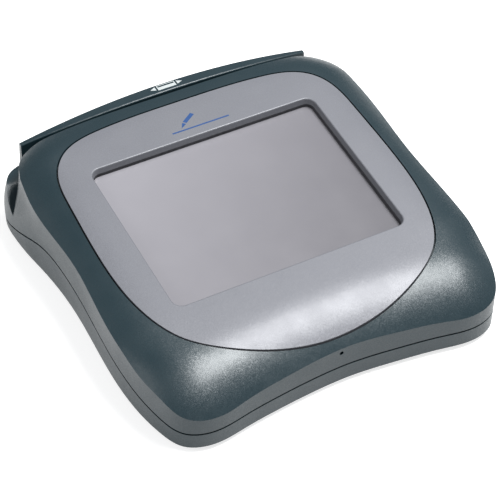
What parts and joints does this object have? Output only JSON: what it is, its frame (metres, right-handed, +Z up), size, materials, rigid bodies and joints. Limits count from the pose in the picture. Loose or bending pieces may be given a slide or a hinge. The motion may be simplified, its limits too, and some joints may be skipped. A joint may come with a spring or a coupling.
{
  "type": "signature capture terminal",
  "caption": "Desktop signature and card terminal: crowned square housing, silver bezel around a tilted touch screen, and a card-swipe channel behind it.",
  "frame": {"origin": "centre of the object's bounding box on the table, under the feet", "axes": "+Z up, +X to the right of a user who faces the screen, +Y from the user towards the card channel"},
  "size_m": [0.1848, 0.1831, 0.0473],
  "materials": {
    "painted_shell": "satin metallic-flake paint over moulded plastic",
    "bezel_silver": "satin silver paint over moulded plastic",
    "screen_glass": "matt hard-coated resistive film",
    "cell_glass": "liquid-crystal cell",
    "foam": "closed-cell foam",
    "rubber": "matt black",
    "sheet_steel": "tin-plated pressed steel",
    "screw_steel": "zinc plated",
    "brass": "plain turned",
    "circuit_board": "solder-masked laminate",
    "chip": "moulded epoxy",
    "black_plastic": "moulded nylon",
    "nickel": "nickel plated",
    "ribbon": "polyimide film",
    "button_plastic": "moulded"
  },
  "bodies": {
    "root": {"top_housing": "painted_shell", "rear_panel": "painted_shell", "bottom_housing": "painted_shell", "card_rail": "painted_shell", "front_bezel": "bezel_silver", "rubber_feet": "rubber", "housing_screws": "screw_steel", "mount_inserts": "brass", "touch_panel": "screen_glass", "lcd_cell": "cell_glass", "lcd_frame": "sheet_steel", "window_gasket": "foam", "display_screws": "screw_steel", "main_board": "circuit_board", "board_screws": "screw_steel", "processor": "chip", "memory_chips": "chip", "shield_can": "sheet_steel", "coin_holder": "black_plastic", "coin_cell": "nickel", "buzzer": "black_plastic", "serial_port": "black_plastic", "usb_port": "nickel", "power_jack": "black_plastic", "backlight_inverter": "circuit_board", "display_flex": "ribbon", "head_spring": "sheet_steel", "reader_board": "circuit_board", "reader_cable": "ribbon", "reader_screws": "screw_steel", "rail_screws": "screw_steel", "reset_board": "circuit_board", "reset_switch": "black_plastic"},
    "read_head": {"read_head": "nickel"},
    "reset_button": {"reset_button": "button_plastic"}
  },
  "joints": [
    {"name": "head_float", "type": "slide", "parent": "root", "child": "read_head", "axis": [0, -1, 0], "range_m": [0, 0.0008], "stiffness_N_per_m": 600, "springref_m": -0.0005, "deforming": ["head_spring"]},
    {"name": "reset_press", "type": "slide", "parent": "root", "child": "reset_button", "axis": [0, 1, 0], "range_m": [0, 0.0004], "stiffness_N_per_m": 800, "springref_m": -0.0004}
  ]
}
